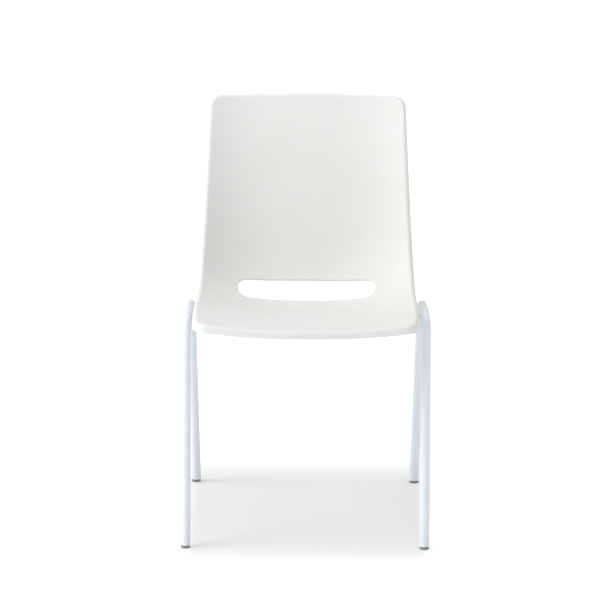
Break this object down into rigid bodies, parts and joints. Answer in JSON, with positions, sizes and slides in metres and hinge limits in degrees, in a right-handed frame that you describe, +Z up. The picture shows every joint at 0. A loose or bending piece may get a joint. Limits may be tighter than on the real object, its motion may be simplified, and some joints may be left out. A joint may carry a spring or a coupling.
{
  "type": "stacking chair",
  "caption": "Stacking chair: a white moulded plastic shell with a wide slot low in the back, on a white powder-coated frame of bent round tube.",
  "frame": {"origin": "on the floor, below the middle of the chair's bounding box", "axes": "+Z up, the sitter faces -Y, +X to the right of somebody looking at the chair's front"},
  "size_m": [0.5038, 0.5063, 0.8262],
  "materials": {
    "shell_white": "satin, fine moulded grain",
    "frame_white": "satin powder coat",
    "glide_grey": "matt",
    "buffer_white": "satin",
    "brass": "knurled",
    "zinc_plated_steel": "bright zinc plating"
  },
  "bodies": {
    "root": {"seat_shell": "shell_white", "left_side_frame": "frame_white", "right_side_frame": "frame_white", "front_cross_tube": "frame_white", "rear_cross_tube": "frame_white", "front_left_mounting_plate": "frame_white", "front_right_mounting_plate": "frame_white", "rear_left_mounting_plate": "frame_white", "rear_right_mounting_plate": "frame_white", "shell_inserts": "brass", "shell_washers": "zinc_plated_steel", "shell_screws": "zinc_plated_steel", "front_left_foot_glide": "glide_grey", "front_right_foot_glide": "glide_grey", "rear_left_foot_glide": "glide_grey", "rear_right_foot_glide": "glide_grey", "front_left_stacking_buffer": "buffer_white", "front_right_stacking_buffer": "buffer_white", "rear_left_stacking_buffer": "buffer_white", "rear_right_stacking_buffer": "buffer_white"}
  },
  "joints": []
}
